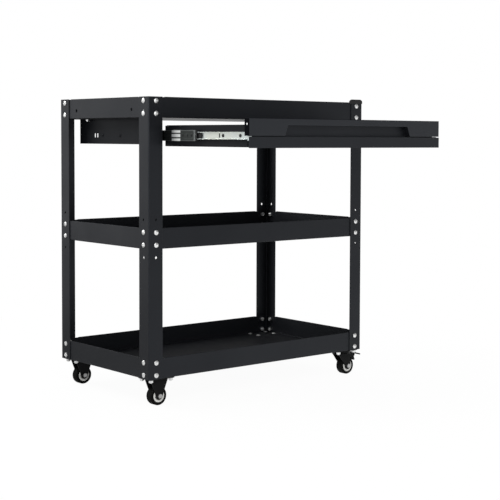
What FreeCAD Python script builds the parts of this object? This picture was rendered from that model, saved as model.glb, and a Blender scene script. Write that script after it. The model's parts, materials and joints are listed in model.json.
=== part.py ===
import FreeCAD, Part
import math
import os

from FreeCAD import Placement, Rotation, Vector

# Three-tier tool cart with one drawer under the top tray.
# Millimetres. X runs along the long front side, Y points to the back, Z up.
# The origin is on the floor under the middle of the frame. The drawer stands open.

# Overall sizes
cart_width = 700.0
cart_depth = 400.0
tray_pitch = 312.0
tray_names = ("bottom_tray", "middle_tray", "top_tray")

# Trays of folded sheet
tray_height = 50.0
tray_sheet = 1.0
tray_bend_inside = 1.0
hem_depth = 7.0
hem_end_gap = 8.0

# Corner posts of angle steel
post_leg = 40.0
post_thickness = 2.0
post_bend_inside = 1.0

# Bolts and nuts that hold the trays in the posts
bolt_from_tray_edge = 10.0
bolt_radius = 3.0
bolt_hole_clearance = 0.2
bolt_head_overhang = 3.0
bolt_head_height = 2.9
bolt_socket_across = 4.0
bolt_socket_depth = 1.6
bolt_end = 1.5
nut_wall = 2.0
nut_height = 5.0
thread_clearance = 0.05
hex_sides = 6

# Cross-recessed screws
screw_head_overhang = 2.0
head_dome_share = 0.65
cross_reach_share = 0.5
cross_width_share = 0.13

# Empty handle holes in the end walls of the top tray
handle_hole_radius = 4.25
handle_hole_spacing = 250.0
handle_hole_height = 20.0

# Rounded caps on the right-hand posts
cap_wall = 1.2
cap_overhang = 7.5
cap_bolt_gap = 0.75
cap_rise = 8.0
cap_round = 10.5
cap_side_rise = 2.0
cap_side_round = 1.5

# Brackets under the top tray that carry the slides
bracket_sheet = 1.5
bracket_bend = 1.5
bracket_flange = 21.0
bracket_below_rail = 4.0
bracket_rear_gap = 31.0
bracket_screw_from_front = 58.0
bracket_screw_from_rear = 52.0
bracket_screw_radius = 2.5
bracket_head_height = 2.2
bracket_nut_wall = 1.5
bracket_nut_height = 4.0
bracket_screw_end = 1.2

# Telescopic ball slides
slide_length = 320.0
slide_drop = 42.0
slide_width = 12.7
rail_sheet = 1.0
rail_setback = 22.0
inner_overlap = 126.0
inner_rail_height = 16.6
inner_tab_length = 14.0
inner_tab_height = 10.0
inner_tab_gap = 0.6
middle_rail_lip = 2.2
middle_drawer_gap = 2.5
middle_groove_from_centre = 4.0
middle_groove_width = 2.5
middle_groove_depth = 0.5
middle_hole_steps = (13.0, 28.0, 46.0)
middle_hole_radius = 2.5
outer_rail_lip = 2.3
outer_drawer_gap = 2.7

# Ball cages between the rails
cage_sheet = 0.6
cage_web_gap = 0.3
cage_lip_gap = 0.4
outer_cage_length = 150.0
outer_cage_start = 2.0
inner_cage_length = 110.0
inner_cage_start = 9.0
outer_ball_radius = 1.85
inner_ball_radius = 1.45
ball_gap = 0.15
ball_hole_gap = 0.15
ball_pitch = 15.0
ball_end_margin = 8.0

# Slide fixings, end bumpers and release levers
rail_slot_width = 7.5
rail_slot_height = 10.0
rail_slot_spacing = 11.5
rail_slot_from_rear = 52.0
rail_screw_radius = 2.0
rail_head_height = 2.0
outer_screw_steps = (28.0, 158.0, 238.0)
inner_screw_steps = (24.0, 86.0)
inner_screw_from_rear = 54.0
inner_slot_step = 99.0
inner_slot_width = 4.0
bumper_length = 9.0
bumper_nose = 4.0
bumper_gap = 0.4
lever_length = 14.0
lever_height = 11.0
lever_depth = 4.0
lever_pin_radius = 1.5
lever_pin_from_end = 5.0

# Drawer
drawer_travel = 320.0
drawer_gap_side = 4.0
drawer_gap_top = 3.0
front_height = 66.0
front_depth = 16.0
front_seam = 2.0
front_edge_round = 1.2
notch_half_top = 193.0
notch_slant = 9.0
notch_height = 24.0
front_end_hole_radius = 2.5
front_end_hole_from_top = 13.0
box_height = 50.0
box_depth = 312.0
box_floor_above_front = 1.5
box_front_wall_gap = 2.0
lower_return_inset = 4.0

# Wheels
wheel_radius = 23.0
tyre_width = 21.0
tyre_thickness = 7.5
tyre_round = 2.5
hub_width = 20.6
hub_groove_inner = 5.5
hub_groove_outer = 10.5
hub_groove_depth = 6.5
axle_radius = 3.0
running_clearance = 0.05
axle_head_height = 4.0
axle_end = 1.0

# Caster plates, forks and swivels; the left-hand casters are rigid
caster_trail = 13.0
caster_inset_x = 42.5
caster_inset_y = 30.0
plate_hole_x = 58.0
plate_hole_y = 38.0
plate_margin = 8.0
plate_thickness = 2.0
plate_corner = 6.0
caster_head_height = 2.4
caster_nut_height = 6.0
race_nut_gap = 4.5
race_height = 3.5
race_skirt = 2.2
race_skirt_wall = 1.8
swivel_ball_radius = 1.85
swivel_ball_circle = 15.0
swivel_ball_count = 12
kingpin_radius = 4.0
kingpin_head_radius = 7.0
kingpin_head_height = 2.8
kingpin_top_gap = 0.2
kingpin_head_gap = 0.3
crown_overhang = 1.0
fork_sheet = 2.0
fork_front = 21.0
fork_back = 22.0
fork_end_radius = 9.0
rigid_fork_half = 26.0
wheel_side_gap = 0.75
wheel_top_gap = 10.5

# Brake pedals on the right-hand casters
brake_pivot_x = 33.0
brake_lock_angle = 16.0
brake_pin_radius = 2.0
brake_ear_radius = 5.0
brake_hub_radius = 4.2
brake_side_gap = 1.5
brake_shoe_gap = 0.3
brake_shoe_half = 0.8
pedal_arm = 9.0
pedal_tread_length = 18.0
pedal_tread_width = 25.0
pedal_rise = 5.0
pedal_droop = 5.0
pedal_sheet = 3.5
claw_length = 17.0
claw_angle = 65.0
claw_width = 6.0

# Heights of the casters, from the floor up
crown_base_z = 2 * wheel_radius + wheel_top_gap
crown_top_z = crown_base_z + fork_sheet
race_base_z = crown_top_z + 2 * (swivel_ball_radius + ball_gap)
plate_base_z = race_base_z + race_height
caster_height = plate_base_z + plate_thickness
brake_pivot_z = crown_base_z - brake_ear_radius

# Trays, posts and bolts
half_width = cart_width / 2
half_depth = cart_depth / 2
tray_zs = [caster_height + level * tray_pitch for level in range(len(tray_names))]
top_tray_z = tray_zs[-1]
post_top = top_tray_z + tray_height
tray_half_x = half_width - post_thickness
tray_half_y = half_depth - post_thickness
tray_bend = tray_bend_inside + tray_sheet
post_bend = post_bend_inside + post_thickness
bolt_pitch = tray_height - 2 * bolt_from_tray_edge
bolt_heights = [z + bolt_from_tray_edge + step * bolt_pitch for z in tray_zs for step in range(2)]
spare_z = tray_zs[tray_names.index("middle_tray")] + bolt_from_tray_edge
spare_heights = [spare_z - bolt_pitch, spare_z + 2 * bolt_pitch]
bolt_from_corner = (post_leg + post_bend) / 2
bolt_hole_radius = bolt_radius + bolt_hole_clearance
bolt_head_radius = bolt_radius + bolt_head_overhang
bolt_grip = post_thickness + tray_sheet
cap_skirt = bolt_from_tray_edge - bolt_head_radius - cap_bolt_gap

# Slides and brackets
middle_rail_height = inner_rail_height + 4 * (inner_ball_radius + ball_gap) + 2 * rail_sheet
outer_rail_height = middle_rail_height + 4 * (outer_ball_radius + ball_gap) + 2 * rail_sheet
middle_rail_start = rail_sheet + cage_sheet + 2 * cage_web_gap
inner_rail_start = 2 * middle_rail_start
middle_rail_end = slide_width - middle_drawer_gap
outer_rail_end = slide_width - outer_drawer_gap
bracket_inner_x = half_width - post_leg
bracket_outer_x = bracket_inner_x + bracket_sheet
bracket_front_y = -tray_half_y
bracket_rear_y = tray_half_y - bracket_rear_gap
bracket_height = slide_drop + outer_rail_height / 2 + bracket_below_rail
slide_z = top_tray_z - slide_drop
rail_front_y = -half_depth + rail_setback
rail_rear_y = rail_front_y + slide_length

# Drawer, with its front split at the middle of the slides
drawer_side_x = bracket_inner_x - slide_width
front_half_x = bracket_inner_x - drawer_gap_side
front_top_z = top_tray_z - drawer_gap_top
front_base_z = front_top_z - front_height
upper_front_z = slide_z
lower_front_top_z = upper_front_z - front_seam
front_y = -half_depth - drawer_travel
box_front_y = front_y + front_depth
box_rear_y = box_front_y + box_depth
box_base_z = front_base_z + box_floor_above_front
inner_front_y = box_front_y
inner_rear_y = inner_front_y + slide_length - front_depth
middle_front_y = inner_rear_y - inner_overlap
middle_rear_y = middle_front_y + slide_length

# Caster places and widths
caster_x = half_width - caster_inset_x
caster_y = half_depth - caster_inset_y
fork_inner_y = tyre_width / 2 + wheel_side_gap
fork_outer_y = fork_inner_y + fork_sheet
hub_radius = wheel_radius - tyre_thickness
caster_nut_corner = 2 * (bolt_radius + nut_wall) / math.sqrt(3)
race_radius = math.hypot(plate_hole_x, plate_hole_y) / 2 - caster_nut_corner - race_nut_gap
crown_radius = race_radius + crown_overhang

X = Vector(1, 0, 0)
Y = Vector(0, 1, 0)
Z = Vector(0, 0, 1)


# Shape helpers
def block(x0, x1, y0, y1, z0, z1):
    return Part.makeBox(x1 - x0, y1 - y0, z1 - z0, Vector(x0, y0, z0))


def rod(radius, length, base, axis):
    return Part.makeCylinder(radius, length, base, axis)


def fuse(shapes):
    return shapes[0].multiFuse(shapes[1:]).removeSplitter()


def mirror_x(shape):
    return shape.mirror(Vector(), X)


def moved(shape, offset):
    return shape.translated(offset)


def aimed(shape, point, direction):
    turned = shape.copy()
    turned.Placement = Placement(point, Rotation(Z, direction))
    return turned


def prism(points, direction):
    wire = Part.makePolygon(list(points) + [points[0]])
    return Part.Face(wire).extrude(direction)


def edges_where(shape, test):
    return [edge for edge in shape.Edges if test(edge.BoundBox)]


def upright_at(x, y):
    near = 1e-6
    return lambda box: max(abs(box.XMin - x), abs(box.XMax - x), abs(box.YMin - y), abs(box.YMax - y)) < near


def hexagon(across, height):
    corner = across / math.sqrt(3)
    turns = [math.tau * side / hex_sides for side in range(hex_sides)]
    return prism([Vector(corner * math.cos(turn), corner * math.sin(turn), 0) for turn in turns], Z * height)


# Fasteners, made at the origin with the head above the XY plane
def domed_bolt(radius, overhang, head_height, length):
    head_radius = radius + overhang
    dome = head_height * head_dome_share
    ball_radius = (head_radius**2 + dome**2) / (2 * dome)
    ball = Part.makeSphere(ball_radius, Vector(0, 0, head_height - ball_radius))
    head = rod(head_radius, head_height, Vector(), Z).common(ball)
    return fuse([head, rod(radius, length, Vector(0, 0, -length), Z)])


def cross_screw(radius, head_height, length):
    screw = domed_bolt(radius, screw_head_overhang, head_height, length)
    head_radius = radius + screw_head_overhang
    reach = head_radius * cross_reach_share
    half = head_radius * cross_width_share
    base = head_height * (1 - head_dome_share)
    bar = block(-reach, reach, -half, half, base, 2 * head_height)
    cross_bar = block(-half, half, -reach, reach, base, 2 * head_height)
    return screw.cut(fuse([bar, cross_bar]))


def socket_bolt(head_height, length):
    socket = hexagon(bolt_socket_across, bolt_socket_depth * 2)
    bolt = domed_bolt(bolt_radius, bolt_head_overhang, head_height, length)
    return bolt.cut(moved(socket, Z * (head_height - bolt_socket_depth)))


def nut(radius, wall, height):
    return hexagon(2 * (radius + wall), height).cut(rod(radius + thread_clearance, height, Vector(), Z))


# Every tray bolt as its point on the post's outer face and the way its head faces
def tray_bolt_places():
    places = []
    for side_x in (-1, 1):
        for side_y in (-1, 1):
            for z in bolt_heights:
                along_y = Vector(side_x * half_width, side_y * (half_depth - bolt_from_corner), z)
                along_x = Vector(side_x * (half_width - bolt_from_corner), side_y * half_depth, z)
                places.append((along_y, X * side_x))
                places.append((along_x, Y * side_y))
    return places


def drill(shape, points, direction, radius, depth):
    holes = [rod(radius, 2 * depth, point - direction * depth, direction) for point in points]
    return shape.cut(Part.makeCompound(holes))


def drill_tray_bolts(shape, places):
    for point, direction in places:
        reach = 2 * bolt_grip
        shape = shape.cut(rod(bolt_hole_radius, 2 * reach, point - direction * reach, direction))
    return shape


# Open pan of folded sheet with rounded bends, standing on z0
def open_pan(x0, x1, y0, y1, z0, height):
    sheet = tray_sheet
    outer = block(x0, x1, y0, y1, z0, z0 + height)
    inner = block(x0 + sheet, x1 - sheet, y0 + sheet, y1 - sheet, z0 + sheet, z0 + 2 * height)
    folded = lambda box: box.ZMin < z0 + height / 2
    outer = outer.makeFillet(tray_bend, edges_where(outer, folded))
    inner = inner.makeFillet(tray_bend_inside, edges_where(inner, folded))
    return outer.cut(inner)


# A pan as five panels that meet along its bends: the floor, the two ends and the two long walls
def panels(pan, x1, y0, y1):
    box = pan.BoundBox
    in_x = x1 - tray_bend
    in_y0 = y0 + tray_bend
    in_y1 = y1 - tray_bend
    zones = [
        block(-in_x, in_x, in_y0, in_y1, box.ZMin, box.ZMin + tray_bend),
        block(-x1, -in_x, y0, y1, box.ZMin, box.ZMax),
        block(in_x, x1, y0, y1, box.ZMin, box.ZMax),
        block(-in_x, in_x, y0, in_y0, box.ZMin, box.ZMax),
        block(-in_x, in_x, in_y1, y1, box.ZMin, box.ZMax),
    ]
    return [pan.common(zone).Solids[0] for zone in zones]


# Rolled hem along the top of a wall, from start to end on the wall's outer face
def hem(start, end, inward):
    sheet = tray_sheet
    along = end - start
    length = along.Length
    along.normalize()
    wide = inward * (2 * sheet)
    low = Z * (sheet - hem_depth)
    high = Z * -sheet
    flat = prism([start + low, start + wide + low, start + wide + high, start + high], along * length)
    roll = rod(sheet, length, start + inward * sheet + high, along)
    return fuse([flat, roll])


def tray(z0):
    pan = open_pan(-tray_half_x, tray_half_x, -tray_half_y, tray_half_y, z0, tray_height - tray_sheet)
    rim = z0 + tray_height
    end_x = half_width - post_leg - hem_end_gap
    end_y = half_depth - post_leg - hem_end_gap
    hems = []
    for side in (-1, 1):
        wall_y = side * tray_half_y
        wall_x = side * tray_half_x
        hems.append(hem(Vector(-end_x, wall_y, rim), Vector(end_x, wall_y, rim), Y * -side))
        hems.append(hem(Vector(wall_x, -end_y, rim), Vector(wall_x, end_y, rim), X * -side))
    shape = fuse([pan] + hems)
    places = [place for place in tray_bolt_places() if z0 < place[0].z < rim]
    shape = drill_tray_bolts(shape, places)
    if z0 == top_tray_z:
        handle_points = [
            Vector(side * tray_half_x, step * handle_hole_spacing / 2, z0 + handle_hole_height)
            for side in (-1, 1)
            for step in (-1, 1)
        ]
        shape = drill(shape, handle_points, X, handle_hole_radius, tray_bend)
        shape = drill(shape, bracket_screw_points(), Z, bracket_screw_radius + bolt_hole_clearance, tray_bend)
    if z0 == caster_height:
        shape = drill(shape, caster_bolt_points(), Z, bolt_hole_radius, tray_bend)
    return panels(shape, tray_half_x, -tray_half_y, tray_half_y)


# Left front post; the others are its mirror images
def post():
    x0 = -half_width
    y0 = -half_depth
    outer = block(x0, x0 + post_leg, y0, y0 + post_leg, caster_height, post_top)
    outer = outer.makeFillet(post_bend, edges_where(outer, upright_at(x0, y0)))
    x1 = x0 + post_thickness
    y1 = y0 + post_thickness
    inner = block(x1, x0 + 2 * post_leg, y1, y0 + 2 * post_leg, caster_height - post_leg, post_top + post_leg)
    inner = inner.makeFillet(post_bend_inside, edges_where(inner, upright_at(x1, y1)))
    angle = outer.cut(inner)
    places = []
    for z in bolt_heights + spare_heights:
        places.append((Vector(x0, y0 + bolt_from_corner, z), X))
        places.append((Vector(x0 + bolt_from_corner, y0, z), Y))
    return drill_tray_bolts(angle, places)


# Rounded cap over the top of a right-hand post, made for the front one
def post_cap():
    x1 = half_width
    y0 = -half_depth
    skirt_z = post_top - cap_skirt
    top_z = post_top + cap_rise
    side_top_z = post_top + cap_side_rise
    out_x = x1 + cap_wall
    out_y = y0 - cap_wall
    arch_x = block(x1 - post_leg - cap_overhang, out_x, out_y, y0 + post_thickness, skirt_z, top_z)
    arch_y = block(x1 - post_thickness, out_x, out_y, y0 + post_leg + cap_overhang, skirt_z, side_top_z)
    high = lambda box: box.ZMin > post_top
    across_y = lambda box: high(box) and box.YLength > box.XLength
    across_x = lambda box: high(box) and box.XLength > box.YLength
    arch_x = arch_x.makeFillet(cap_round, edges_where(arch_x, across_y))
    arch_y = arch_y.makeFillet(cap_side_round, edges_where(arch_y, across_x))
    corner = block(x1 - 2 * post_leg, out_x, out_y, y0 + 2 * post_leg, skirt_z, top_z)
    corner = corner.makeFillet(post_bend, edges_where(corner, upright_at(out_x, out_y)))
    cap = fuse([arch_x, arch_y]).common(corner)
    slot_x = block(x1 - post_leg, x1, y0, y0 + 2 * post_thickness, skirt_z, post_top)
    slot_y = block(x1 - 2 * post_thickness, x1, y0, y0 + post_leg, skirt_z, post_top)
    return cap.cut(fuse([slot_x, slot_y]))


# Left bracket: a plate with a flange screwed under the top tray
def bracket():
    ends = (bracket_front_y, bracket_rear_y)
    inner_x = -bracket_inner_x
    web = block(-bracket_outer_x, inner_x, *ends, top_tray_z - bracket_height, top_tray_z)
    flange = block(inner_x - bracket_flange, inner_x, *ends, top_tray_z - bracket_sheet, top_tray_z)
    plate = fuse([web, flange])
    bend = lambda box: box.ZLength < bracket_sheet / 2 and box.ZMin > top_tray_z - bracket_sheet / 2
    at_bend = lambda box: bend(box) and box.XMin > -bracket_inner_x - bracket_sheet / 2
    plate = plate.makeFillet(bracket_bend, edges_where(plate, at_bend))
    plate = drill(plate, bracket_screw_points(), Z, bracket_screw_radius + bolt_hole_clearance, bracket_sheet)
    plate = drill(plate, outer_screw_points(), X, rail_screw_radius + bolt_hole_clearance, 2 * bracket_sheet)
    return plate.cut(rail_slots())


def bracket_screw_points():
    screw_x = bracket_outer_x + (bracket_flange - bracket_sheet) / 2
    screw_ys = (bracket_front_y + bracket_screw_from_front, bracket_rear_y - bracket_screw_from_rear)
    return [Vector(side * screw_x, y, top_tray_z) for side in (-1, 1) for y in screw_ys]


def outer_screw_points():
    screw_ys = [rail_front_y + step for step in outer_screw_steps]
    return [Vector(side * bracket_outer_x, y, slide_z) for side in (-1, 1) for y in screw_ys]


# Pair of slots through the bracket and the outer rail, near the rear
def rail_slots():
    slots = []
    for side in (-1, 1):
        y = rail_rear_y - rail_slot_from_rear + side * rail_slot_spacing / 2
        half_wide = rail_slot_width / 2
        half_high = rail_slot_height / 2
        slots.append(
            block(
                -bracket_outer_x - bracket_sheet,
                -bracket_inner_x + 2 * rail_sheet,
                y - half_wide,
                y + half_wide,
                slide_z - half_high,
                slide_z + half_high,
            )
        )
    return Part.makeCompound(slots)


# Left rails. Depth is counted inwards from the bracket's inner face
def from_bracket(depth):
    return -bracket_inner_x + depth


def channel(depth0, depth1, height, web_at_start, y0, y1, sheet):
    x0 = from_bracket(depth0)
    x1 = from_bracket(depth1)
    half = height / 2
    if web_at_start:
        web = block(x0, x0 + sheet, y0, y1, slide_z - half, slide_z + half)
    else:
        web = block(x1 - sheet, x1, y0, y1, slide_z - half, slide_z + half)
    top = block(x0, x1, y0, y1, slide_z + half - sheet, slide_z + half)
    base = block(x0, x1, y0, y1, slide_z - half, slide_z - half + sheet)
    return [web, top, base]


def lips(depth1, height, length, y0, y1, sheet):
    x1 = from_bracket(depth1)
    half = height / 2
    top = block(x1 - sheet, x1, y0, y1, slide_z + half - length, slide_z + half)
    base = block(x1 - sheet, x1, y0, y1, slide_z - half, slide_z - half + length)
    return [top, base]


def outer_rail():
    walls = channel(0, outer_rail_end, outer_rail_height, True, rail_front_y, rail_rear_y, rail_sheet)
    walls += lips(outer_rail_end, outer_rail_height, outer_rail_lip, rail_front_y, rail_rear_y, rail_sheet)
    hole_radius = rail_screw_radius + thread_clearance
    rail = drill(fuse(walls), outer_screw_points(), X, hole_radius, 2 * bracket_sheet)
    return rail.cut(rail_slots())


# The middle rail's outer face has two long grooves and a row of holes near its front
def middle_rail():
    ends = (middle_front_y, middle_rear_y)
    walls = channel(middle_rail_start, middle_rail_end, middle_rail_height, True, *ends, rail_sheet)
    walls += lips(middle_rail_end, middle_rail_height, middle_rail_lip, *ends, rail_sheet)
    rail = fuse(walls)
    x0 = from_bracket(middle_rail_start)
    for side in (-1, 1):
        near = slide_z + side * middle_groove_from_centre
        far = near + side * middle_groove_width
        x1 = x0 + middle_groove_depth
        rail = rail.cut(block(x0, x1, *ends, min(near, far), max(near, far)))
    holes = [Vector(x0, middle_front_y + step, slide_z) for step in middle_hole_steps]
    return drill(rail, holes, X, middle_hole_radius, 2 * rail_sheet)


def inner_rail():
    walls = channel(
        inner_rail_start, slide_width, inner_rail_height, False, inner_front_y, inner_rear_y, rail_sheet
    )
    tab_top = upper_front_z - inner_tab_gap
    tab = block(
        from_bracket(slide_width - rail_sheet),
        from_bracket(slide_width),
        inner_front_y - inner_tab_length,
        inner_front_y,
        tab_top - inner_tab_height,
        tab_top,
    )
    hole_radius = rail_screw_radius + bolt_hole_clearance
    rail = drill(fuse(walls + [tab]), inner_screw_points(-1), X, hole_radius, 2 * rail_sheet)
    slot_y = inner_front_y + inner_slot_step
    slot = block(
        from_bracket(slide_width - 2 * rail_sheet),
        from_bracket(slide_width + rail_sheet),
        slot_y - inner_slot_width / 2,
        slot_y + inner_slot_width / 2,
        slide_z - rail_slot_height / 2,
        slide_z + rail_slot_height / 2,
    )
    pin_hole = rod(lever_pin_radius + running_clearance, slide_width, lever_pivot() - X * slide_width / 2, X)
    return rail.cut(slot).cut(pin_hole)


def inner_screw_points(side):
    web_x = drawer_side_x + rail_sheet
    screw_ys = [inner_front_y + step for step in inner_screw_steps] + [inner_rear_y - inner_screw_from_rear]
    return [Vector(side * web_x, y, slide_z) for y in screw_ys]


# Ball cages: a web and two strips that hold a row of balls each
def cage(depth0, depth1, ball_offset, ball_radius, y0, length):
    half = ball_offset + cage_sheet / 2
    walls = channel(depth0, depth1, 2 * half, True, y0, y0 + length, cage_sheet)
    shape = fuse(walls)
    for centre in ball_centres(depth0, depth1, ball_offset, y0, length):
        shape = shape.cut(Part.makeSphere(ball_radius + ball_hole_gap, centre))
    return shape


def ball_centres(depth0, depth1, ball_offset, y0, length):
    count = int((length - 2 * ball_end_margin) / ball_pitch) + 1
    x = from_bracket((depth0 + cage_sheet + depth1) / 2)
    centres = []
    for side in (-1, 1):
        for step in range(count):
            y = y0 + ball_end_margin + step * ball_pitch
            centres.append(Vector(x, y, slide_z + side * ball_offset))
    return centres


def outer_cage_sizes():
    offset = middle_rail_height / 2 + ball_gap + outer_ball_radius
    depth0 = rail_sheet + cage_web_gap
    depth1 = outer_rail_end - rail_sheet - cage_lip_gap
    return depth0, depth1, offset, outer_ball_radius, rail_front_y + outer_cage_start, outer_cage_length


def inner_cage_sizes():
    offset = inner_rail_height / 2 + ball_gap + inner_ball_radius
    depth0 = middle_rail_start + rail_sheet + cage_web_gap
    depth1 = middle_rail_end - rail_sheet - cage_lip_gap
    return depth0, depth1, offset, inner_ball_radius, middle_front_y + inner_cage_start, inner_cage_length


def cage_balls(sizes):
    depth0, depth1, offset, radius, y0, length = sizes
    return [Part.makeSphere(radius, centre) for centre in ball_centres(depth0, depth1, offset, y0, length)]


# Plastic bumper in the front end of a middle rail, round the inner rail
def bumper():
    y0 = middle_front_y - bumper_nose
    y1 = y0 + bumper_length
    inside = middle_rail_height / 2 - rail_sheet
    thick = inside - inner_rail_height / 2 - bumper_gap
    x0 = from_bracket(middle_rail_start + rail_sheet)
    x1 = from_bracket(middle_rail_end - rail_sheet)
    web = block(x0, from_bracket(inner_rail_start - bumper_gap), y0, y1, slide_z - inside, slide_z + inside)
    top = block(x0, x1, y0, y1, slide_z + inside - thick, slide_z + inside)
    base = block(x0, x1, y0, y1, slide_z - inside, slide_z - inside + thick)
    collar = [
        block(x0 - rail_sheet, x1 + rail_sheet, y0, middle_front_y, slide_z + low, slide_z + high)
        for low, high in ((inside - thick, inside + rail_sheet), (-inside - rail_sheet, thick - inside))
    ]
    return fuse([web, top, base] + collar)


# Release lever on the inner rail, with its pivot pin in the rail's web
def lever_pivot():
    return Vector(from_bracket(slide_width), middle_front_y - lever_length + lever_pin_from_end, slide_z)


def release_lever():
    pivot = lever_pivot()
    x1 = from_bracket(slide_width - rail_sheet) - running_clearance
    y0 = pivot.y - lever_pin_from_end
    half = lever_height / 2
    arm = block(x1 - lever_depth, x1, y0, y0 + lever_length, slide_z - half, slide_z + half)
    pin = rod(lever_pin_radius, lever_depth + rail_sheet, pivot - X * (lever_depth + rail_sheet), X)
    return fuse([arm, pin])


# Drawer pieces
def drawer_box():
    side_x = drawer_side_x
    pan = open_pan(-side_x, side_x, box_front_y, box_rear_y, box_base_z, box_height - tray_sheet)
    rim = box_base_z + box_height
    side_y0 = box_front_y + hem_end_gap
    side_y1 = box_rear_y - hem_end_gap
    hems = [
        hem(Vector(side * side_x, side_y0, rim), Vector(side * side_x, side_y1, rim), X * -side)
        for side in (-1, 1)
    ]
    rear_x = side_x - hem_end_gap
    hems.append(hem(Vector(-rear_x, box_rear_y, rim), Vector(rear_x, box_rear_y, rim), Y * -1))
    front_x = side_x - tray_bend
    wall_top = front_top_z - box_front_wall_gap
    wall_base = box_base_z + tray_bend
    front_wall = block(-front_x, front_x, box_front_y, box_front_y + tray_sheet, wall_base, wall_top)
    shape = fuse([pan, front_wall] + hems)
    for side in (-1, 1):
        points = [Vector(side * side_x, point.y, point.z) for point in inner_screw_points(side)]
        shape = drill(shape, points, X, rail_screw_radius + thread_clearance, tray_bend)
    return panels(shape, side_x, box_front_y, box_rear_y)


# Upper front: a pan with its open side to the back and the finger pull cut from its lower edge
def upper_front():
    notch_half_low = notch_half_top + notch_slant
    notch_z = upper_front_z + notch_height
    outline = [
        Vector(-front_half_x, front_y, upper_front_z),
        Vector(-notch_half_low, front_y, upper_front_z),
        Vector(-notch_half_top, front_y, notch_z),
        Vector(notch_half_top, front_y, notch_z),
        Vector(notch_half_low, front_y, upper_front_z),
        Vector(front_half_x, front_y, upper_front_z),
        Vector(front_half_x, front_y, front_top_z),
        Vector(-front_half_x, front_y, front_top_z),
    ]
    solid = prism(outline, Y * front_depth)
    on_face = lambda box: box.YMax < front_y + front_depth / 2
    solid = solid.makeFillet(front_edge_round, edges_where(solid, on_face))
    wire = Part.makePolygon(outline + [outline[0]])
    inset = Part.Face(wire).makeOffset2D(-tray_sheet, join=2)
    hollow = moved(inset.extrude(Y * front_depth), Y * tray_sheet)
    shell = solid.cut(hollow)
    holes = [
        Vector(side * front_half_x, front_y + front_depth / 2, front_top_z - front_end_hole_from_top)
        for side in (-1, 1)
    ]
    return drill(shell, holes, X, front_end_hole_radius, 2 * tray_sheet)


def lower_front():
    top_z = lower_front_top_z
    return_x = drawer_side_x - lower_return_inset
    sheet = block(-front_half_x, front_half_x, front_y, front_y + tray_sheet, front_base_z, top_z)
    base = block(-return_x, return_x, front_y, box_front_y, front_base_z, front_base_z + tray_sheet)
    up_y = box_front_y - tray_sheet
    up = block(-return_x, return_x, up_y, box_front_y, front_base_z, front_base_z + hem_depth)
    top = block(-return_x, return_x, front_y, box_front_y, top_z - tray_sheet, top_z)
    return fuse([sheet, base, up, top])


# Casters, made with the middle of the plate on the Z axis and a swivelling wheel trailing towards +X
def caster_places():
    names = {(-1, -1): "front_left", (1, -1): "front_right", (-1, 1): "rear_left", (1, 1): "rear_right"}
    return {name: Vector(side[0] * caster_x, side[1] * caster_y, 0) for side, name in names.items()}


def plate_holes():
    return [
        Vector(side_x * plate_hole_x / 2, side_y * plate_hole_y / 2, plate_base_z)
        for side_x in (-1, 1)
        for side_y in (-1, 1)
    ]


def caster_bolt_points():
    lift = Z * plate_thickness
    return [place + hole + lift for place in caster_places().values() for hole in plate_holes()]


def caster_plate(swivels):
    half_x = plate_hole_x / 2 + plate_margin
    half_y = plate_hole_y / 2 + plate_margin
    plate = block(-half_x, half_x, -half_y, half_y, plate_base_z, caster_height)
    plate = plate.makeFillet(plate_corner, edges_where(plate, lambda box: box.ZLength > plate_thickness / 2))
    plate = drill(plate, plate_holes(), Z, bolt_hole_radius, 2 * plate_thickness)
    if not swivels:
        return plate
    race = rod(race_radius, race_height, Vector(0, 0, race_base_z), Z)
    skirt_base = Vector(0, 0, race_base_z - race_skirt)
    skirt = rod(race_radius, race_skirt, skirt_base, Z)
    skirt = skirt.cut(rod(race_radius - race_skirt_wall, race_skirt, skirt_base, Z))
    pin_hole = rod(kingpin_radius + thread_clearance, caster_height, Vector(), Z)
    return fuse([plate, race, skirt]).cut(pin_hole)


def kingpin():
    head_z = crown_base_z - kingpin_head_gap - kingpin_head_height
    head = rod(kingpin_head_radius, kingpin_head_height, Vector(0, 0, head_z), Z)
    shank = rod(kingpin_radius, caster_height - kingpin_top_gap - head_z, Vector(0, 0, head_z), Z)
    return fuse([head, shank])


def swivel_balls():
    z = (race_base_z + crown_top_z) / 2
    turns = [math.tau * step / swivel_ball_count for step in range(swivel_ball_count)]
    ring = swivel_ball_circle
    centres = [Vector(ring * math.cos(turn), ring * math.sin(turn), z) for turn in turns]
    return [Part.makeSphere(swivel_ball_radius, centre) for centre in centres]


# Fork leg that narrows from its top edge to a round end at the axle
def fork_leg(y0, front_x, back_x, axle_x, top_z):
    side = [
        Vector(front_x, y0, top_z),
        Vector(back_x, y0, top_z),
        Vector(axle_x + fork_end_radius, y0, wheel_radius),
        Vector(axle_x - fork_end_radius, y0, wheel_radius),
    ]
    end = Vector(axle_x, y0, wheel_radius)
    return fuse([prism(side, Y * fork_sheet), rod(fork_end_radius, fork_sheet, end, Y)])


def pin_bore(x, z, radius):
    return rod(radius + running_clearance, 2 * fork_outer_y, Vector(x, -fork_outer_y, z), Y)


def rigid_fork():
    half = rigid_fork_half
    crown = block(-half, half, -fork_outer_y, fork_outer_y, plate_base_z - fork_sheet, plate_base_z)
    legs = [fork_leg(y0, -half, half, 0, plate_base_z) for y0 in (-fork_outer_y, fork_inner_y)]
    return fuse([crown] + legs).cut(pin_bore(0, wheel_radius, axle_radius))


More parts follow.
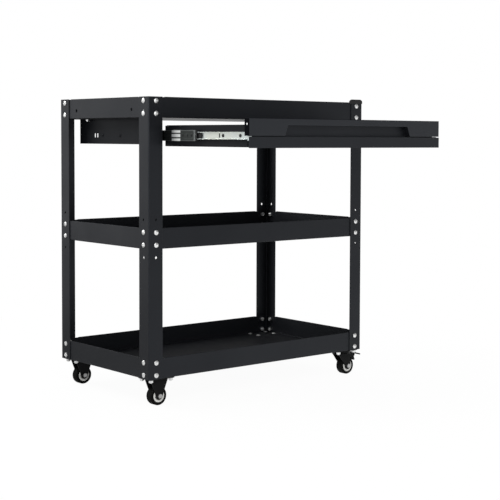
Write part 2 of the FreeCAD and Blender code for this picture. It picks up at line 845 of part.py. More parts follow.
# Swivel fork, with ears that carry the brake pedal's pin
def swivel_fork():
    pieces = [rod(crown_radius, fork_sheet, Vector(0, 0, crown_base_z), Z)]
    ear_base_z = brake_pivot_z - brake_ear_radius
    for y0 in (-fork_outer_y, fork_inner_y):
        pieces.append(fork_leg(y0, -fork_front, fork_back, caster_trail, crown_base_z))
        pieces.append(block(caster_trail, brake_pivot_x, y0, y0 + fork_sheet, ear_base_z, crown_base_z))
        pieces.append(rod(brake_ear_radius, fork_sheet, Vector(brake_pivot_x, y0, brake_pivot_z), Y))
    shape = fuse(pieces)
    shape = shape.cut(pin_bore(caster_trail, wheel_radius, axle_radius))
    shape = shape.cut(pin_bore(brake_pivot_x, brake_pivot_z, brake_pin_radius))
    return shape.cut(rod(kingpin_radius + running_clearance, caster_height, Vector(), Z))


# Axle, tyre and hub, made with the axle above the origin
def axle():
    centre = Vector(0, 0, wheel_radius)
    across = 2 * (axle_radius + nut_wall)
    head = aimed(hexagon(across, axle_head_height), centre - Y * fork_outer_y, Y * -1)
    length = 2 * fork_outer_y + nut_height + axle_end
    shank = rod(axle_radius, length, centre - Y * fork_outer_y, Y)
    axle_nut = aimed(nut(axle_radius, nut_wall, nut_height), centre + Y * fork_outer_y, Y)
    return [fuse([head, shank]), axle_nut]


def tyre():
    base = Vector(0, -tyre_width / 2, wheel_radius)
    ring = rod(wheel_radius, tyre_width, base, Y)
    ring = ring.makeFillet(tyre_round, edges_where(ring, lambda box: box.YLength < tyre_width / 2))
    return ring.cut(rod(hub_radius, tyre_width, base, Y))


def hub():
    half = hub_width / 2
    centre = Vector(0, 0, wheel_radius)
    body = rod(hub_radius, hub_width, centre - Y * half, Y)
    for start in (-half, half - hub_groove_depth):
        groove = rod(hub_groove_outer, hub_groove_depth, centre + Y * start, Y)
        boss = rod(hub_groove_inner, hub_groove_depth, centre + Y * start, Y)
        body = body.cut(groove.cut(boss))
    return body.cut(rod(axle_radius + running_clearance, hub_width, centre - Y * half, Y))


# Brake pedal: tread, arm, shoe towards the tyre and a release claw, in one stamping with its pin
def brake_pedal():
    arm_half = fork_inner_y - brake_side_gap
    pivot = Vector(brake_pivot_x, -arm_half, brake_pivot_z)
    hub_piece = rod(brake_hub_radius, 2 * arm_half, pivot, Y)
    high_z = brake_pivot_z + pedal_rise
    tread_x = brake_pivot_x + pedal_arm
    arm = block(brake_pivot_x, tread_x + pedal_sheet, -arm_half, arm_half, high_z - pedal_sheet, high_z)
    tread_y = -pedal_tread_width / 2
    tread_end_x = tread_x + pedal_tread_length
    tread = prism(
        [
            Vector(tread_x, tread_y, high_z),
            Vector(tread_x, tread_y, high_z - pedal_sheet),
            Vector(tread_end_x, tread_y, high_z - pedal_droop - pedal_sheet),
            Vector(tread_end_x, tread_y, high_z - pedal_droop),
        ],
        Y * pedal_tread_width,
    )
    to_axle = Vector(caster_trail - brake_pivot_x, 0, wheel_radius - brake_pivot_z)
    reach = to_axle.Length - wheel_radius - brake_shoe_gap
    shoe_way = Rotation(Y, -brake_lock_angle).multVec(to_axle.normalize())
    shoe_side = shoe_way.cross(Y)
    shoe_tip = pivot + shoe_way * reach
    shoe = prism(
        [
            pivot + shoe_side * brake_hub_radius,
            pivot - shoe_side * brake_hub_radius,
            shoe_tip - shoe_side * brake_shoe_half,
            shoe_tip + shoe_side * brake_shoe_half,
        ],
        Y * (2 * arm_half),
    )
    slope = math.radians(claw_angle)
    along = Vector(math.cos(slope), 0, -math.sin(slope))
    across = Vector(math.sin(slope), 0, math.cos(slope)) * (claw_width / 2)
    tip = pivot + along * claw_length
    claw = prism([pivot + across, pivot - across, tip - across / 2, tip + across / 2], Y * (2 * arm_half))
    pin_start = Vector(brake_pivot_x, -fork_outer_y, brake_pivot_z)
    pin = rod(brake_pin_radius, 2 * fork_outer_y, pin_start, Y)
    return fuse([hub_piece, arm, tread, shoe, claw, pin])


# Writing
def write(name, solids):
    shape = solids[0] if len(solids) == 1 else Part.makeCompound(solids)
    shape.exportStep("parts/" + name + ".step")


def write_frame():
    left_front = post()
    across_y = left_front.mirror(Vector(), Y)
    write("front_left_post", [left_front])
    write("rear_left_post", [across_y])
    write("front_right_post", [mirror_x(left_front)])
    write("rear_right_post", [mirror_x(across_y)])
    front_cap = post_cap()
    write("post_caps", [front_cap, front_cap.mirror(Vector(), Y)])
    for z0, name in zip(tray_zs, tray_names):
        write(name, tray(z0))
    bolt = socket_bolt(bolt_head_height, bolt_grip + nut_height + bolt_end)
    tray_nut = nut(bolt_radius, nut_wall, nut_height)
    places = tray_bolt_places()
    write("tray_bolts", [aimed(bolt, point, direction) for point, direction in places])
    inside = [(point - direction * bolt_grip, direction * -1) for point, direction in places]
    write("tray_nuts", [aimed(tray_nut, point, direction) for point, direction in inside])


def write_brackets():
    left = bracket()
    write("left_slide_bracket", [left])
    write("right_slide_bracket", [mirror_x(left)])
    grip = tray_sheet + bracket_sheet
    length = grip + bracket_nut_height + bracket_screw_end
    screw = cross_screw(bracket_screw_radius, bracket_head_height, length)
    screw_nut = nut(bracket_screw_radius, bracket_nut_wall, bracket_nut_height)
    points = bracket_screw_points()
    write("bracket_screws", [aimed(screw, point + Z * tray_sheet, Z) for point in points])
    write("bracket_nuts", [aimed(screw_nut, point - Z * bracket_sheet, Z * -1) for point in points])
    rail_screw = cross_screw(rail_screw_radius, rail_head_height, bracket_sheet + rail_sheet)
    outside = [(point, X * math.copysign(1, point.x)) for point in outer_screw_points()]
    write("outer_rail_screws", [aimed(rail_screw, point, direction) for point, direction in outside])


def write_slides():
    pairs = {"outer_rail": outer_rail(), "middle_rail": middle_rail(), "inner_rail": inner_rail()}
    pairs["release_lever"] = release_lever()
    for name, left in pairs.items():
        write("left_" + name, [left])
        write("right_" + name, [mirror_x(left)])
    left_bumper = bumper()
    write("rail_bumpers", [left_bumper, mirror_x(left_bumper)])
    for name, sizes in (("outer", outer_cage_sizes()), ("inner", inner_cage_sizes())):
        left_cage = cage(*sizes)
        left_balls = cage_balls(sizes)
        write(name + "_ball_cages", [left_cage, mirror_x(left_cage)])
        write(name + "_cage_balls", left_balls + [mirror_x(ball) for ball in left_balls])


def write_drawer():
    write("drawer_box", drawer_box())
    write("drawer_upper_front", [upper_front()])
    write("drawer_lower_front", [lower_front()])
    screw = cross_screw(rail_screw_radius, rail_head_height, rail_sheet + tray_sheet)
    screws = [aimed(screw, point, X * side) for side in (-1, 1) for point in inner_screw_points(side)]
    write("inner_rail_screws", screws)


def write_casters():
    wheel_tyre = tyre()
    wheel_hub = hub()
    wheel_axle = axle()
    plates = {False: caster_plate(False), True: caster_plate(True)}
    forks = {False: rigid_fork(), True: swivel_fork()}
    pedal = brake_pedal()
    pins = []
    balls = []
    for name, place in caster_places().items():
        swivels = "right" in name
        wheel_place = place + X * caster_trail if swivels else place
        write(name + "_caster_plate", [moved(plates[swivels], place)])
        write(name + "_fork", [moved(forks[swivels], place)])
        write(name + "_axle", [moved(solid, wheel_place) for solid in wheel_axle])
        write(name + "_tyre", [moved(wheel_tyre, wheel_place)])
        write(name + "_hub", [moved(wheel_hub, wheel_place)])
        if swivels:
            write(name + "_brake_pedal", [moved(pedal, place)])
            pins.append(moved(kingpin(), place))
            balls += [moved(ball, place) for ball in swivel_balls()]
    write("kingpins", pins)
    write("swivel_balls", balls)
    grip = tray_sheet + plate_thickness
    bolt = socket_bolt(caster_head_height, grip + caster_nut_height + bolt_end)
    caster_nut = nut(bolt_radius, nut_wall, caster_nut_height)
    points = caster_bolt_points()
    write("caster_bolts", [aimed(bolt, point + Z * tray_sheet, Z) for point in points])
    write("caster_nuts", [aimed(caster_nut, point - Z * plate_thickness, Z * -1) for point in points])


os.makedirs("parts", exist_ok=True)
write_frame()
write_brackets()
write_slides()
write_drawer()
write_casters()
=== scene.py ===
import json
import math

import bpy
from mathutils import Matrix, Vector


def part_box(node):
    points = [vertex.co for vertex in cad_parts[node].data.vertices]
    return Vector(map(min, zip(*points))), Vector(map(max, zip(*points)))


# Three-tier tool cart in black powder coat, with zinc slides and bolts.
# Metres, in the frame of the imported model: X along the drawer side, Y to the back, Z up.

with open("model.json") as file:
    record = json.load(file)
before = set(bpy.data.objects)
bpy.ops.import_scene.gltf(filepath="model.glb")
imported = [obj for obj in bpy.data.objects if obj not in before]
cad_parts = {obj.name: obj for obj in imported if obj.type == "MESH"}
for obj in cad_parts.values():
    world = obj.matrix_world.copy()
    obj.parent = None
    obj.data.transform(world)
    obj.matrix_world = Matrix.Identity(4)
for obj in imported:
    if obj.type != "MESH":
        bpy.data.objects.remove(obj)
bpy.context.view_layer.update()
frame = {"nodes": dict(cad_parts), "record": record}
cad_nodes = frame["nodes"]

# Camera at the photograph's viewing point
IMAGE_SIDE = 500
IMAGE_MIDDLE = IMAGE_SIDE / 2
FOCAL_PIXELS = 1233.3
PRINCIPAL_COLUMN = 283.53
PRINCIPAL_ROW = 201.55
SENSOR_MM = 36.0
CAMERA_PLACE = Vector((-2.0058, -2.6063, 0.6452))
CAMERA_YAW = math.radians(40.782)
CAMERA_TILT = math.radians(2.946)
CAMERA_ROLL = math.radians(0.257)

# Floor: its colour in the light and to the eye, and how much of it glows white to the eye, near and far
FLOOR_HALF = 9.0
FLOOR_COLOUR = (0.2, 0.2, 0.2, 1.0)
FLOOR_EYE_COLOUR = (0.8, 0.8, 0.8, 1.0)
FLOOR_GLOW = 0.96
FLOOR_SHADOW_REACH = 0.7
FLOOR_WHITE_FROM = 1.3

# Darker patch of the floor that gloss sees, behind the cart on the left
SHADE_CENTRE = (-1.0, 1.0, 0.0)
SHADE_TO = 0.8
SHINE_WHITE_FROM = 1.7

# World: a plain light on surfaces, and for gloss a white backdrop below a dim ceiling
SKY_LIGHT = 0.85
STUDIO_UP = (0.0, -0.09, 1.0)
BACKDROP_TOP = 0.08
CEILING_FROM = 0.18
CEILING_LIGHT = 0.15
FULL_LIGHT = 1.0
WHITE = (1.0, 1.0, 1.0, 1.0)

# Lamps
CART_MIDDLE = (0.0, -0.05, 0.38)
UPPER_LEFT = (-0.2, 0.1, 0.62)
SOFTBOXES = {
    "left_softbox": {"place": (-1.6, 1.3, 1.9), "target": UPPER_LEFT, "size": (0.9, 0.7), "watts": 30.0},
    "front_softbox": {"place": (-1.2, -2.8, 2.2), "target": CART_MIDDLE, "size": (1.4, 1.2), "watts": 32.0},
    "edge_softbox": {"place": (-2.9, -1.7, 1.0), "target": CART_MIDDLE, "size": (0.4, 0.8), "watts": 22.0},
    "top_softbox": {"place": (0.2, 0.3, 2.8), "target": CART_MIDDLE, "size": (2.0, 2.0), "watts": 14.0},
}

# Powder coat: how strongly it shines on the frame, the brackets and the pieces of the drawer; the brackets'
# weaker shine is painted shade, and the drawer's stronger shine is painted light
COAT_IOR = 1.39
SHADED_COAT_IOR = 1.22
FRONT_IOR = 1.52
LOWER_FRONT_IOR = 1.43
BOX_IOR = 1.41
FULL_SHINE = 0.5
NO_SHINE = 0.0
COOL_SHINE = (0.83, 0.89, 1.0, 1.0)

# Bands at both ends of the drawer's upper front and box that shine less, as painted shade
FRONT_END_BAND = 0.0008
BOX_SIDE_BAND = 0.0018

# How strongly the other black pieces and the hubs shine
SCREW_IOR = 1.45
PLASTIC_IOR = 1.42
CASTER_IOR = 1.18
TYRE_IOR = 1.16
HUB_IOR = 1.48

# Zinc on bolts and nuts, and duller on the axles
METAL = 1.0
BRIGHT_ZINC = (0.80, 0.80, 0.79, 1.0)
BRIGHTEST_ZINC = (0.93, 0.94, 0.94, 1.0)
DULL_ZINC = (0.56, 0.56, 0.55, 1.0)
DULLEST_ZINC = (0.46, 0.46, 0.46, 1.0)

# Middle rails: a lit length of zinc along Y, counted from the front tip, with painted shade beyond it, and
# grooves and rims counted across the rail
LIT_ZINC_FROM_TIP = 0.075
LIT_ZINC_HALF = 0.017
TIP_BAND = 0.0056
GROOVE_FROM = 0.0034
GROOVE_TO = 0.0064
RAIL_RIM = 0.0012
END_BLUR = 0.0004

# Textures: stretches along X, Y and Z, and the ranges of a noise for finishes, patches, dust and scuffs
NO_STRETCH = (1.0, 1.0, 1.0)
DRAWN_STRETCH = (900.0, 14.0, 900.0)
NOISE_LOW = 0.3
NOISE_HIGH = 0.7
PATCH_FROM = 0.35
PATCH_FULL = 0.65
DUST_FROM = 0.45
DUST_FULL = 0.75
SCUFF_FROM = 0.52
SCUFF_FULL = 0.78

# Edges: how round they look, how far the normal turns there, and how level a face is that gathers dust
EDGE_ROUND = 0.0005
EDGE_SAMPLES = 4
EDGE_FROM = 0.995
EDGE_FULL = 0.85
LEVEL_FROM = 0.6
LEVEL_FULL = 0.95

# Sockets of a Mix node for colours
MIX_SHARE = 0
MIX_FIRST = 6
MIX_SECOND = 7
MIX_RESULT = 2


# Node helper: makes a node, sets its fields and fills or links its inputs
def add(tree, kind, inputs=None, **fields):
    made = tree.nodes.new(kind)
    for name, value in fields.items():
        setattr(made, name, value)
    for name, value in (inputs or {}).items():
        if isinstance(value, bpy.types.NodeSocket):
            tree.links.new(value, made.inputs[name])
        else:
            made.inputs[name].default_value = value
    return made


def blank_material(name):
    material = bpy.data.materials.new(name)
    material.use_nodes = True
    material.node_tree.nodes.clear()
    return material, material.node_tree


# Places on the piece, stretched by a factor along each axis
def places(tree, stretch=NO_STRETCH):
    where = add(tree, "ShaderNodeTexCoord").outputs["Object"]
    return add(tree, "ShaderNodeMapping", {"Vector": where, "Scale": stretch}).outputs["Vector"]


def noise(tree, vector, scale, detail):
    inputs = {"Vector": vector, "Scale": scale, "Detail": detail}
    return add(tree, "ShaderNodeTexNoise", inputs).outputs["Fac"]


# Fine lines drawn along a rail
def drawn_lines(tree):
    return noise(tree, places(tree, DRAWN_STRETCH), scale=1.0, detail=3.0)


# Maps a range of a value onto another range, and keeps to its ends past them
def between(tree, value, low, high, to_low=0.0, to_high=1.0):
    inputs = {"Value": value, "From Min": low, "From Max": high, "To Min": to_low, "To Max": to_high}
    return add(tree, "ShaderNodeMapRange", inputs).outputs["Result"]


# Spreads the usual range of a noise over two values
def spread(tree, value, low, high):
    return between(tree, value, NOISE_LOW, NOISE_HIGH, low, high)


# Turns a noise into soft patches
def patches(tree, value):
    return between(tree, value, PATCH_FROM, PATCH_FULL)


# First where the switch is 0, second where it is 1
def switched(tree, switch, first, second):
    return between(tree, switch, 0.0, 1.0, first, second)


def times(tree, first, second):
    return add(tree, "ShaderNodeMath", {0: first, 1: second}, operation="MULTIPLY").outputs[0]


def larger(tree, first, second):
    return add(tree, "ShaderNodeMath", {0: first, 1: second}, operation="MAXIMUM").outputs[0]


def dot(tree, first, second):
    return add(tree, "ShaderNodeVectorMath", {0: first, 1: second}, operation="DOT_PRODUCT").outputs["Value"]


def mixed(tree, share, first, second):
    inputs = {MIX_SHARE: share, MIX_FIRST: first, MIX_SECOND: second}
    return add(tree, "ShaderNodeMix", inputs, data_type="RGBA").outputs[MIX_RESULT]


# Lays a colour over a base, as strongly as a mask and a share say
def laid_over(tree, base, colour, mask, share):
    return mixed(tree, times(tree, mask, share), base, colour)


def rounded_normal(tree, radius):
    return add(tree, "ShaderNodeBevel", {"Radius": radius}, samples=EDGE_SAMPLES).outputs["Normal"]


def flat_normal(tree):
    return add(tree, "ShaderNodeNewGeometry").outputs["Normal"]


# Bump of a fine texture over edges that look slightly rounded
def finish_normal(tree, height, strength, distance):
    rounded = rounded_normal(tree, EDGE_ROUND)
    inputs = {"Height": height, "Strength": strength, "Distance": distance, "Normal": rounded}
    return add(tree, "ShaderNodeBump", inputs).outputs["Normal"]


# 1 where the surface turns sharply, 0 on flat faces
def edge_mask(tree, width):
    along = dot(tree, rounded_normal(tree, width), flat_normal(tree))
    return between(tree, along, EDGE_FROM, EDGE_FULL)


# 1 on faces that look up
def upward_mask(tree):
    upward = add(tree, "ShaderNodeSeparateXYZ", {0: flat_normal(tree)}).outputs["Z"]
    return between(tree, upward, LEVEL_FROM, LEVEL_FULL)


# How far a place lies from a plane across one axis
def distance_from(tree, here, axis, plane):
    along = add(tree, "ShaderNodeSeparateXYZ", {0: here}).outputs[axis]
    gap = add(tree, "ShaderNodeMath", {0: along, 1: plane}, operation="SUBTRACT").outputs[0]
    return add(tree, "ShaderNodeMath", {0: gap}, operation="ABSOLUTE").outputs[0]


# 1 where a distance is past a limit
def past(tree, distance, limit):
    return between(tree, distance, limit, limit + END_BLUR)


# 1 where a distance is short of a limit
def short_of(tree, distance, limit):
    return between(tree, distance, limit + END_BLUR, limit)


def surface(tree, **inputs):
    names = {
        "colour": "Base Color",
        "metal": "Metallic",
        "roughness": "Roughness",
        "ior": "IOR",
        "normal": "Normal",
        "tint": "Specular Tint",
        "shine": "Specular IOR Level",
    }
    shader = add(tree, "ShaderNodeBsdfPrincipled", {names[key]: value for key, value in inputs.items()})
    add(tree, "ShaderNodeOutputMaterial", {"Surface": shader.outputs[0]})


# Satin black powder coat: orange peel, faint mottling, paler edges that are partly rubbed and partly a
# painted highlight, and a trace of dust
def black_powder_coat(name="black_powder_coat", ior=COAT_IOR, shine=FULL_SHINE):
    deep_black = (0.0030, 0.0033, 0.0042, 1.0)
    pale_black = (0.0066, 0.0070, 0.0086, 1.0)
    # Grey of the paler edges: partly rubbing, partly painted highlight
    rubbed_and_highlight_grey = (0.075, 0.075, 0.08, 1.0)
    dust_grey = (0.10, 0.095, 0.09, 1.0)
    material, tree = blank_material(name)
    here = places(tree)
    peel = noise(tree, here, scale=750.0, detail=3.0)
    mottle = noise(tree, here, scale=9.0, detail=4.0)
    speck = noise(tree, here, scale=2600.0, detail=1.0)
    cloud = noise(tree, here, scale=35.0, detail=6.0)
    # Paler edges: partly rubbing, partly a painted highlight along the rims
    rubbed_and_highlight = times(tree, edge_mask(tree, width=0.0009), patches(tree, mottle))
    dust = times(tree, upward_mask(tree), between(tree, cloud, DUST_FROM, DUST_FULL))
    base = mixed(tree, speck, deep_black, pale_black)
    base = laid_over(tree, base, rubbed_and_highlight_grey, rubbed_and_highlight, share=0.5)
    base = laid_over(tree, base, dust_grey, dust, share=0.05)
    roughness = spread(tree, mottle, low=0.40, high=0.50)
    normal = finish_normal(tree, peel, strength=0.16, distance=0.00025)
    surface(tree, colour=base, roughness=roughness, ior=ior, tint=COOL_SHINE, shine=shine, normal=normal)
    return material


# Zinc on bolts, nuts and pins
def zinc(name="zinc", dark=BRIGHT_ZINC, light=BRIGHTEST_ZINC):
    material, tree = blank_material(name)
    here = places(tree)
    cloud = noise(tree, here, scale=260.0, detail=4.0)
    grain = noise(tree, here, scale=2400.0, detail=2.0)
    base = mixed(tree, cloud, dark, light)
    roughness = spread(tree, cloud, low=0.40, high=0.52)
    normal = finish_normal(tree, grain, strength=0.12, distance=0.0001)
    surface(tree, colour=base, metal=METAL, roughness=roughness, normal=normal)
    return material


# Zinc on the rolled slides: drawn lines along the rail and a faint yellow and blue tint
def slide_zinc():
    yellow_zinc = (0.68, 0.71, 0.65, 1.0)
    blue_zinc = (0.60, 0.68, 0.71, 1.0)
    line_grey = (0.50, 0.51, 0.50, 1.0)
    material, tree = blank_material("slide_zinc")
    drawn = drawn_lines(tree)
    tint = noise(tree, places(tree), scale=14.0, detail=2.0)
    base = mixed(tree, patches(tree, tint), yellow_zinc, blue_zinc)
    base = mixed(tree, spread(tree, drawn, low=0.0, high=0.25), base, line_grey)
    roughness = spread(tree, drawn, low=0.26, high=0.40)
    normal = finish_normal(tree, drawn, strength=0.10, distance=0.0001)
    surface(tree, colour=base, metal=METAL, roughness=roughness, normal=normal)
    return material


# Middle rail: a short length of plain zinc, painted shade on the rest and in the grooves, a paler tip, and a
# painted highlight along the rims
def middle_rail_painted_shade():
    # Zinc where light falls on the rail
    rail_zinc = (0.86, 0.88, 0.86, 1.0)
    pale_rail_zinc = (0.95, 0.97, 0.95, 1.0)
    # Painted shade: dark colours where light doesn't reach the rail
    painted_shade_black = (0.030, 0.034, 0.033, 1.0)
    painted_shade_grey = (0.055, 0.060, 0.058, 1.0)
    # Paler grey for the tip, and painted highlight along the rims
    pale_tip_and_highlight_grey = (0.16, 0.17, 0.17, 1.0)
    rail_low, rail_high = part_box("left_middle_rail")
    rim_from = (rail_high.z - rail_low.z) / 2 - RAIL_RIM
    material, tree = blank_material("middle_rail_painted_shade")
    here = places(tree)
    drawn = drawn_lines(tree)
    from_centre = distance_from(tree, here, "Z", (rail_low.z + rail_high.z) / 2)
    from_lit_middle = distance_from(tree, here, "Y", rail_low.y + LIT_ZINC_FROM_TIP)
    from_tip = distance_from(tree, here, "Y", rail_low.y)
    # Painted shade in the grooves
    groove_shade = times(tree, past(tree, from_centre, GROOVE_FROM), short_of(tree, from_centre, GROOVE_TO))
    # Painted shade in the grooves and outside the lit length
    dark = larger(tree, groove_shade, past(tree, from_lit_middle, LIT_ZINC_HALF))
    # Paler tip, and painted highlight along the rims
    pale_tip_and_rim_highlight = larger(tree, short_of(tree, from_tip, TIP_BAND), past(tree, from_centre, rim_from))
    shaded_rail_colour = mixed(tree, pale_tip_and_rim_highlight, mixed(tree, drawn, painted_shade_black, painted_shade_grey), pale_tip_and_highlight_grey)
    base = mixed(tree, dark, mixed(tree, drawn, rail_zinc, pale_rail_zinc), shaded_rail_colour)
    roughness = spread(tree, drawn, low=0.30, high=0.42)
    normal = finish_normal(tree, drawn, strength=0.10, distance=0.0001)
    surface(tree, colour=base, metal=METAL, roughness=roughness, normal=normal)
    return material


def bearing_steel():
    steel = (0.66, 0.66, 0.67, 1.0)
    pale_steel = (0.78, 0.78, 0.78, 1.0)
    material, tree = blank_material("bearing_steel")
    film = noise(tree, places(tree), scale=900.0, detail=2.0)
    base = mixed(tree, film, steel, pale_steel)
    roughness = spread(tree, film, low=0.08, high=0.18)
    surface(tree, colour=base, metal=METAL, roughness=roughness)
    return material


# Blackened screws with paler edges
def black_screw():
    deep_black = (0.010, 0.010, 0.011, 1.0)
    pale_black = (0.024, 0.024, 0.026, 1.0)
    edge_grey = (0.16, 0.16, 0.16, 1.0)
    material, tree = blank_material("black_screw")
    grain = noise(tree, places(tree), scale=1800.0, detail=2.0)
    base = mixed(tree, grain, deep_black, pale_black)
    base = laid_over(tree, base, edge_grey, edge_mask(tree, width=0.0004), share=0.4)
    roughness = spread(tree, grain, low=0.38, high=0.52)
    normal = finish_normal(tree, grain, strength=0.15, distance=0.0001)
    surface(tree, colour=base, roughness=roughness, ior=SCREW_IOR, normal=normal)
    return material


def black_plastic():
    deep_black = (0.006, 0.006, 0.0065, 1.0)
    pale_black = (0.013, 0.013, 0.014, 1.0)
    material, tree = blank_material("black_plastic")
    grain = noise(tree, places(tree), scale=1500.0, detail=3.0)
    base = mixed(tree, grain, deep_black, pale_black)
    roughness = spread(tree, grain, low=0.48, high=0.62)
    normal = finish_normal(tree, grain, strength=0.2, distance=0.0001)
    surface(tree, colour=base, roughness=roughness, ior=PLASTIC_IOR, normal=normal)
    return material


# Black paint on the stamped caster pieces: smoother than the powder coat, but with a weaker shine
def caster_black():
    deep_black = (0.003, 0.003, 0.0033, 1.0)
    pale_black = (0.008, 0.008, 0.0085, 1.0)
    edge_grey = (0.11, 0.11, 0.115, 1.0)
    material, tree = blank_material("caster_black")
    ripple = noise(tree, places(tree), scale=420.0, detail=3.0)
    base = mixed(tree, ripple, deep_black, pale_black)
    base = laid_over(tree, base, edge_grey, edge_mask(tree, width=0.0006), share=0.35)
    roughness = spread(tree, ripple, low=0.30, high=0.42)
    normal = finish_normal(tree, ripple, strength=0.14, distance=0.0002)
    surface(tree, colour=base, roughness=roughness, ior=CASTER_IOR, normal=normal)
    return material


# Black rubber with a few scuffs
def tyre_black():
    deep_black = (0.0015, 0.0015, 0.0015, 1.0)
    pale_black = (0.005, 0.005, 0.0048, 1.0)
    scuff_grey = (0.022, 0.021, 0.020, 1.0)
    scuff_share = 0.3
    material, tree = blank_material("tyre_black")
    here = places(tree)
    grain = noise(tree, here, scale=1300.0, detail=4.0)
    scuff = noise(tree, here, scale=160.0, detail=5.0)
    base = mixed(tree, grain, deep_black, pale_black)
    base = mixed(tree, between(tree, scuff, SCUFF_FROM, SCUFF_FULL, to_high=scuff_share), base, scuff_grey)
    roughness = spread(tree, scuff, low=0.55, high=0.78)
    normal = finish_normal(tree, grain, strength=0.22, distance=0.00015)
    surface(tree, colour=base, roughness=roughness, ior=TYRE_IOR, normal=normal)
    return material


def hub_grey():
    warm_grey = (0.70, 0.70, 0.67, 1.0)
    pale_grey = (0.82, 0.82, 0.79, 1.0)
    material, tree = blank_material("hub_grey")
    here = places(tree)
    grain = noise(tree, here, scale=900.0, detail=3.0)
    cloud = noise(tree, here, scale=120.0, detail=3.0)
    base = mixed(tree, cloud, warm_grey, pale_grey)
    roughness = spread(tree, cloud, low=0.36, high=0.50)
    normal = finish_normal(tree, grain, strength=0.12, distance=0.0001)
    surface(tree, colour=base, roughness=roughness, ior=HUB_IOR, normal=normal)
    return material


# Gives the faces at both ends of a node, within a band, a finish of their own, used here for painted shade
def shade_ends(node, band, finish):
    mesh = cad_nodes[node].data
    ends_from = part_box(node)[1].x - band
    mesh.materials.append(finish)
    for face in mesh.polygons:
        if all(abs(mesh.vertices[corner].co.x) > ends_from for corner in face.vertices):
            face.material_index = len(mesh.materials) - 1


# Most nodes take the finish of their material slot, and some have one of their own, among them copies of the
# coat that carry painted light or shade
def dress_nodes():
    makers = (
        black_powder_coat,
        zinc,
        slide_zinc,
        bearing_steel,
        black_screw,
        black_plastic,
        caster_black,
        tyre_black,
        hub_grey,
    )
    finishes = {make.__name__: make() for make in makers}
    # Painted shade: a copy of the coat with a weaker shine, for the brackets, the outer rail screws and the
    # sides of the box
    shaded_coat = black_powder_coat("shaded_powder_coat", SHADED_COAT_IOR)
    rail_painted_shade = middle_rail_painted_shade()
    own_finishes = {
        "left_slide_bracket": shaded_coat,
        "right_slide_bracket": shaded_coat,
        "outer_rail_screws": shaded_coat,
        # Painted light: copies of the coat that shine more, for the drawer's box and fronts
        "drawer_box": black_powder_coat("box_coat", BOX_IOR),
        "drawer_upper_front": black_powder_coat("front_coat", FRONT_IOR),
        "drawer_lower_front": black_powder_coat("lower_front_coat", LOWER_FRONT_IOR),
        "inner_ball_cages": finishes["black_screw"],
        "left_middle_rail": rail_painted_shade,
        "right_middle_rail": rail_painted_shade,
    }
    axle_finish = zinc("axle_zinc", DULLEST_ZINC, DULL_ZINC)
    for row in frame["record"]["subparts"]:
        node = row["node"]
        mesh = cad_nodes[node].data
        mesh.materials.clear()
        slot_finish = axle_finish if node.endswith("_axle") else finishes[row["material_slot"]]
        mesh.materials.append(own_finishes.get(node, slot_finish))
    # Painted shade: unshining black ends of the upper front, standing in for the shade inside them
    front_end_painted_shade = black_powder_coat("front_end_painted_shade", shine=NO_SHINE)
    shade_ends("drawer_upper_front", FRONT_END_BAND, front_end_painted_shade)
    shade_ends("drawer_box", BOX_SIDE_BAND, shaded_coat)


# 1 for rays from the camera
def camera_mask(tree):
    return add(tree, "ShaderNodeLightPath").outputs["Is Camera Ray"]


# 1 for rays from the camera and for those that gloss and glass send out, 0 for plain light
def seen_mask(tree):
    path = add(tree, "ShaderNodeLightPath")
    seen = path.outputs["Is Camera Ray"]
    for name in ("Is Glossy Ray", "Is Transmission Ray"):
        seen = larger(tree, seen, path.outputs[name])
    return seen


# White to the camera, a white backdrop below a dim ceiling to gloss, and a plain soft light on surfaces
def make_world():
    world = bpy.data.worlds.new("studio")
    bpy.context.scene.world = world
    world.use_nodes = True
    tree = world.node_tree
    tree.nodes.clear()
    way = add(tree, "ShaderNodeTexCoord").outputs["Generated"]
    up = dot(tree, way, STUDIO_UP)
    studio = between(tree, up, BACKDROP_TOP, CEILING_FROM, FULL_LIGHT, CEILING_LIGHT)
    seen_light = switched(tree, camera_mask(tree), studio, FULL_LIGHT)
    strength = switched(tree, seen_mask(tree), SKY_LIGHT, seen_light)
    sky = add(tree, "ShaderNodeBackground", {"Color": WHITE, "Strength": strength})
    add(tree, "ShaderNodeOutputWorld", {"Surface": sky.outputs[0]})


# White to the camera, with a faint shadow near the cart, and to gloss all but a darker patch
def pale_floor():
    material, tree = blank_material("pale_floor")
    camera_ray = camera_mask(tree)
    colour = mixed(tree, camera_ray, FLOOR_COLOUR, FLOOR_EYE_COLOUR)
    matt = add(tree, "ShaderNodeBsdfDiffuse", {"Color": colour})
    glow = add(tree, "ShaderNodeEmission", {"Color": WHITE, "Strength": FULL_LIGHT})
    spot = add(tree, "ShaderNodeTexCoord").outputs["Object"]
    away = add(tree, "ShaderNodeVectorMath", {0: spot}, operation="LENGTH").outputs["Value"]
    by_eye = between(tree, away, FLOOR_SHADOW_REACH, FLOOR_WHITE_FROM, FLOOR_GLOW, FULL_LIGHT)
    patch = add(tree, "ShaderNodeVectorMath", {0: spot, 1: SHADE_CENTRE}, operation="DISTANCE")
    by_shine = between(tree, patch.outputs["Value"], SHADE_TO, SHINE_WHITE_FROM)
    share = times(tree, seen_mask(tree), switched(tree, camera_ray, by_shine, by_eye))
    seen = add(tree, "ShaderNodeMixShader", {0: share, 1: matt.outputs[0], 2: glow.outputs[0]})
    add(tree, "ShaderNodeOutputMaterial", {"Surface": seen.outputs[0]})
    return material


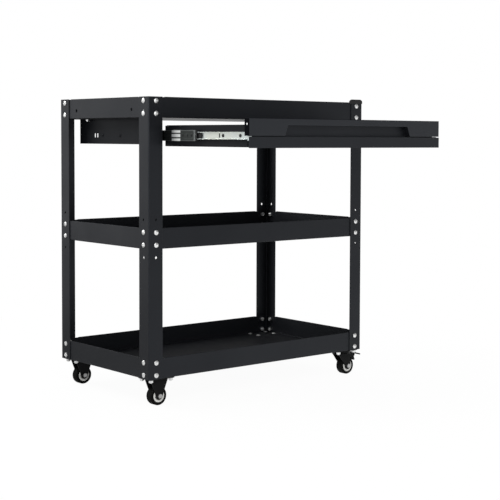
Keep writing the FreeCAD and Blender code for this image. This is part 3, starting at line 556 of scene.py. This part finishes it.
def make_floor():
    mesh = bpy.data.meshes.new("floor")
    corners = [(x * FLOOR_HALF, y * FLOOR_HALF, 0.0) for x, y in ((-1, -1), (1, -1), (1, 1), (-1, 1))]
    mesh.from_pydata(corners, [], [(0, 1, 2, 3)])
    mesh.materials.append(pale_floor())
    floor = bpy.data.objects.new("floor", mesh)
    bpy.context.scene.collection.objects.link(floor)


# Soft lamp at a place, turned towards a target
def area_lamp(name, place, target, size, watts):
    data = bpy.data.lights.new(name, "AREA")
    data.shape = "RECTANGLE"
    data.size, data.size_y = size
    data.energy = watts
    lamp = bpy.data.objects.new(name, data)
    bpy.context.scene.collection.objects.link(lamp)
    lamp.location = place
    lamp.rotation_mode = "QUATERNION"
    lamp.rotation_quaternion = (Vector(target) - Vector(place)).to_track_quat("-Z", "Y")


def make_lamps():
    for name, softbox in SOFTBOXES.items():
        area_lamp(name, **softbox)


def make_camera():
    data = bpy.data.cameras.new("camera")
    data.sensor_width = SENSOR_MM
    data.lens = FOCAL_PIXELS / IMAGE_SIDE * SENSOR_MM
    data.shift_x = (IMAGE_MIDDLE - PRINCIPAL_COLUMN) / IMAGE_SIDE
    data.shift_y = (PRINCIPAL_ROW - IMAGE_MIDDLE) / IMAGE_SIDE
    up = Vector((0.0, 0.0, 1.0))
    level = Vector((math.sin(CAMERA_YAW), math.cos(CAMERA_YAW), 0.0))
    side = Vector((math.cos(CAMERA_YAW), -math.sin(CAMERA_YAW), 0.0))
    ahead = level * math.cos(CAMERA_TILT) - up * math.sin(CAMERA_TILT)
    over = level * math.sin(CAMERA_TILT) + up * math.cos(CAMERA_TILT)
    right = side * math.cos(CAMERA_ROLL) + over * math.sin(CAMERA_ROLL)
    above = over * math.cos(CAMERA_ROLL) - side * math.sin(CAMERA_ROLL)
    camera = bpy.data.objects.new("camera", data)
    bpy.context.scene.collection.objects.link(camera)
    turn = Matrix((right, above, -ahead)).transposed().to_4x4()
    camera.matrix_world = Matrix.Translation(CAMERA_PLACE) @ turn
    bpy.context.scene.camera = camera


dress_nodes()
make_world()
make_floor()
make_lamps()
make_camera()
bpy.context.scene.view_settings.view_transform = "Standard"
